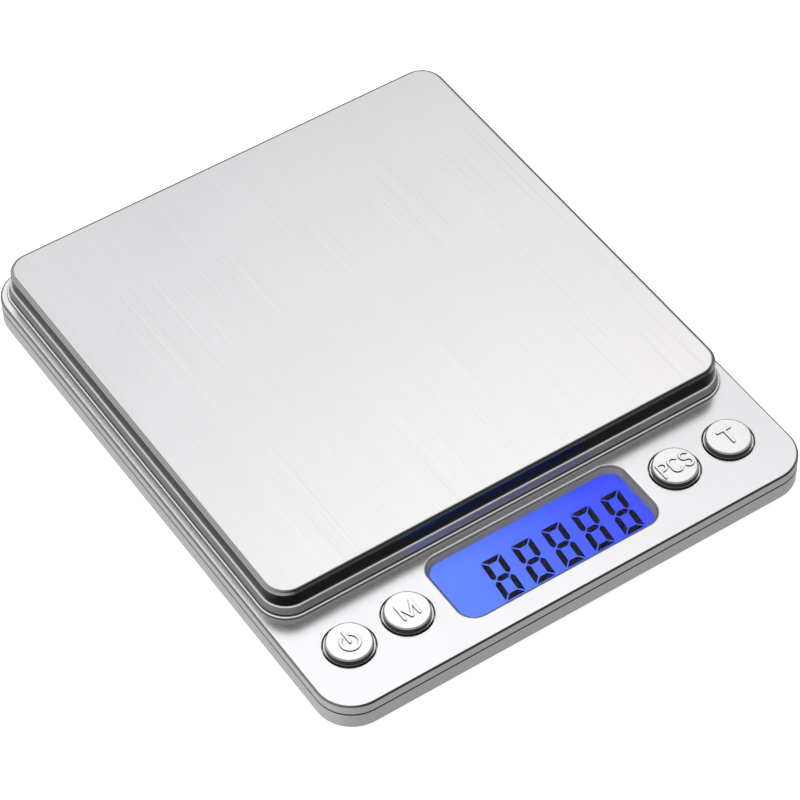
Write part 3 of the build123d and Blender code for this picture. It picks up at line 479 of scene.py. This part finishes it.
# Material slot: colour, roughness, and what else differs.
PLAIN_FINISHES = {
    "foot_rubber": ((0.025, 0.025, 0.027), 0.75, {"depth": 0.03 * MM}),
    "zinc_screw": ((0.6, 0.6, 0.63), 0.3, {"Metallic": 1.0}),
    "white_plastic": ((0.78, 0.78, 0.76), 0.5, {}),
    "led_white": ((0.85, 0.85, 0.75), 0.2, {}),
    "strip_rubber": ((0.55, 0.4, 0.4), 0.6, {}),
    "board_green": ((0.01, 0.13, 0.045), 0.35, {"Coat_Weight": 0.4}),
    "chip_black": ((0.02, 0.02, 0.022), 0.55, {"grain": 2500, "depth": 0.01 * MM}),
    "crystal_can": ((0.65, 0.65, 0.66), 0.25, {"Metallic": 1.0}),
    "capacitor_can": ((0.62, 0.62, 0.65), 0.3, {"Metallic": 1.0}),
    "resistor_ceramic": ((0.03, 0.03, 0.03), 0.4, {}),
    "switch_case": ((0.03, 0.03, 0.032), 0.45, {}),
    "plunger_plastic": ((0.05, 0.05, 0.05), 0.5, {}),
    "gauge_silicone": ((0.8, 0.8, 0.77), 0.35, {"depth": 0.05 * MM}),
    "tape_foam": ((0.85, 0.85, 0.82), 0.9, {"grain": 2500, "depth": 0.05 * MM}),
    "contact_nickel": ((0.66, 0.64, 0.6), 0.22, {"Metallic": 1.0}),
    "red_wire": ((0.5, 0.015, 0.012), 0.45, {}),
    "black_wire": ((0.015, 0.015, 0.015), 0.45, {}),
    "green_wire": ((0.015, 0.2, 0.05), 0.45, {}),
    "white_wire": ((0.75, 0.75, 0.73), 0.45, {}),
}

SPECIAL_FINISHES = {
    "silver_shell": upper_casing_paint,
    "silver_base": lower_casing_paint,
    "carrier_grey": carrier_paint,
    "button_silver": key_paint,
    "pan_steel": brushed_steel,
    "cell_aluminium": load_cell_metal,
    "battery_jacket": battery_sleeve,
    "backlight_blue": backlight,
}


def make_finishes():
    """A material for each material slot."""
    finishes = {
        "lens_acrylic": clear("lens_acrylic", (0.97, 0.98, 1.0), LENS_INDEX),
        "lcd_glass": clear("lcd_glass", (0.95, 0.97, 1.0), GLASS_INDEX),
    }
    for slot, make in SPECIAL_FINISHES.items():
        finishes[slot] = make(slot)
    for slot, (colour, roughness, more) in PLAIN_FINISHES.items():
        finishes[slot] = plain(slot, colour, roughness, **more)
    return finishes


def dress_nodes():
    """Gives each CAD node the finish of its material slot."""
    finishes = make_finishes()
    for subpart in frame["record"]["subparts"]:
        node = nodes[subpart["node"]]
        node.data.materials.clear()
        node.data.materials.append(finishes[subpart["material_slot"]])


# --- Display digits ------------------------------------------------------------------
def segment_outlines():
    """The seven segments of one upright digit, as corner points clockwise round each."""
    width, height, bar, gap = DIGIT_WIDTH, DIGIT_HEIGHT, SEGMENT, SEGMENT_GAP
    middle, half = height / 2, bar / 2
    top = [
        (gap, height), (width - gap, height),
        (width - bar - gap, height - bar), (bar + gap, height - bar),
    ]
    upper_left = [
        (0, height - gap), (bar, height - bar - gap), (bar, middle + half + gap),
        (half, middle + gap), (0, middle + half + gap),
    ]
    centre = [
        (half + gap, middle), (bar + gap, middle + half), (width - bar - gap, middle + half),
        (width - half - gap, middle), (width - bar - gap, middle - half), (bar + gap, middle - half),
    ]
    upper_right = [(width - x, y) for x, y in reversed(upper_left)]
    upper = [top, upper_left, upper_right]
    lower = [[(x, height - y) for x, y in reversed(outline)] for outline in upper]
    return [*upper, centre, *lower]


def display_digits():
    """Black segments on the inner face of the front glass, each a thin block."""
    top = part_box("lcd_front_glass")[0].z - INK_CLEARANCE
    points = []
    faces = []
    for place in range(DIGIT_COUNT):
        left = FIRST_DIGIT.x + place * DIGIT_PITCH
        for outline in segment_outlines():
            slanted = [(left + x + y * DIGIT_SLANT, FIRST_DIGIT.y + y) for x, y in outline]
            count = len(slanted)
            upper = range(len(points), len(points) + count)
            lower = range(upper.stop, upper.stop + count)
            points += [(x, y, top) for x, y in slanted]
            points += [(x, y, top - SEGMENT_THICKNESS) for x, y in slanted]
            faces += [tuple(reversed(upper)), tuple(lower)]
            for here in range(count):
                after = (here + 1) % count
                faces.append((upper[here], upper[after], lower[after], lower[here]))
    mesh = bpy.data.meshes.new("display_digits")
    mesh.from_pydata(points, [], faces)
    digits = bpy.data.objects.new("display_digits", mesh)
    bpy.context.scene.collection.objects.link(digits)
    mesh.materials.append(black_ink())
    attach(digits, "housing")


# --- Load cell -----------------------------------------------------------------------
def bending_load_cell():
    """A copy of the load cell as a piece of its own, in place of the hidden CAD node."""
    beam = bpy.data.objects.new("load_cell_beam", nodes["load_cell"].data.copy())
    bpy.context.scene.collection.objects.link(beam)
    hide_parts("load_cell")
    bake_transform(beam)


# --- Studio --------------------------------------------------------------------------
def make_camera():
    camera = bpy.data.objects.new("camera", bpy.data.cameras.new("camera"))
    bpy.context.scene.collection.objects.link(camera)
    camera.data.lens = CAMERA_LENS
    camera.data.sensor_width = SENSOR_WIDTH
    camera.data.clip_start, camera.data.clip_end = CLIP
    camera.location = CAMERA_PLACE
    level = (CAMERA_AIM - CAMERA_PLACE).to_track_quat("-Z", "Y")
    camera.rotation_mode = "QUATERNION"
    camera.rotation_quaternion = level @ Quaternion((0, 0, 1), CAMERA_ROLL)
    bpy.context.scene.camera = camera


def make_floor():
    """A white paper floor that glows faintly and isn't mirrored in the scale."""
    corners = [(-1, -1), (1, -1), (1, 1), (-1, 1)]
    mesh = bpy.data.meshes.new("floor")
    mesh.from_pydata([(x * FLOOR_HALF, y * FLOOR_HALF, 0) for x, y in corners], [], [(0, 1, 2, 3)])
    floor = bpy.data.objects.new("floor", mesh)
    bpy.context.scene.collection.objects.link(floor)
    glow = {"Emission_Color": (1.0, 1.0, 1.0), "Emission_Strength": FLOOR_GLOW}
    mesh.materials.append(plain("floor_paper", (0.97, 0.97, 0.97), 0.8, grain=3, spread=0.004, **glow))
    floor.visible_diffuse = False
    floor.visible_glossy = False


class Sky:
    """The studio's light by direction, as sums and products of smooth ramps."""

    def __init__(self):
        world = bpy.data.worlds.new("studio")
        bpy.context.scene.world = world
        world.use_nodes = True
        self.tree = world.node_tree
        self.direction = self.tree.nodes.new("ShaderNodeTexCoord").outputs["Generated"]

    def ramp(self, towards, start, end, low=0.0, high=1.0):
        """Runs from low to high as the cosine to a direction runs from start to end."""
        cosine = self.tree.nodes.new("ShaderNodeVectorMath")
        cosine.operation = "DOT_PRODUCT"
        self.tree.links.new(self.direction, cosine.inputs[0])
        cosine.inputs[1].default_value = Vector(towards).normalized()
        ramp = self.tree.nodes.new("ShaderNodeMapRange")
        ramp.interpolation_type = "SMOOTHSTEP"
        self.tree.links.new(cosine.outputs["Value"], ramp.inputs["Value"])
        for name, value in (("From Min", start), ("From Max", end), ("To Min", low), ("To Max", high)):
            ramp.inputs[name].default_value = value
        return ramp.outputs["Result"]

    def join(self, operation, first, *others):
        for other in others:
            node = self.tree.nodes.new("ShaderNodeMath")
            node.operation = operation
            self.tree.links.new(first, node.inputs[0])
            self.tree.links.new(other, node.inputs[1])
            first = node.outputs[0]
        return first

    def shine(self, strength):
        background = self.tree.nodes["Background"]
        background.inputs["Color"].default_value = (1, 1, 1, 1)
        self.tree.links.new(strength, background.inputs["Strength"])


def make_world():
    """A soft box behind on the right, a dim ceiling, grey walls with a dark card, and a pale table."""
    sky = Sky()
    soft_box = sky.ramp(SOFT_BOX_TOWARDS, *SOFT_BOX_EDGE, 0, SOFT_BOX_LIGHT)
    ceiling = sky.ramp(CEILING_TOWARDS, *CEILING_EDGE, 0, CEILING_LIGHT)
    table = sky.join(
        "MULTIPLY",
        sky.ramp((0, 0, -1), *TABLE_EDGE),
        sky.ramp(TABLE_REAR, *TABLE_BLEND, *TABLE_LIGHT),
    )
    walls = sky.join(
        "MULTIPLY",
        sky.ramp((0, 0, 1), *WALL_TOP, 0, WALL_LIGHT),
        sky.ramp((0, 0, 1), -TABLE_EDGE[1], -TABLE_EDGE[0]),
        sky.ramp(CARD_TOWARDS, *CARD_EDGE, 1, CARD_SHINE),
    )
    sky.shine(sky.join("ADD", soft_box, ceiling, table, walls))


def make_fill():
    """A broad overhead panel that adds no highlights of its own."""
    light = bpy.data.lights.new("fill", "AREA")
    light.size = FILL_SIZE
    light.energy = FILL_LIGHT * math.pi * FILL_SIZE ** 2
    panel = bpy.data.objects.new("fill", light)
    bpy.context.scene.collection.objects.link(panel)
    panel.location = FILL_PLACE
    panel.rotation_mode = "QUATERNION"
    panel.rotation_quaternion = (-Vector(FILL_PLACE)).to_track_quat("-Z", "Y")
    panel.visible_glossy = False


dress_nodes()
display_digits()
bending_load_cell()
make_camera()
make_floor()
make_world()
make_fill()
bpy.context.scene.view_settings.view_transform = "Standard"
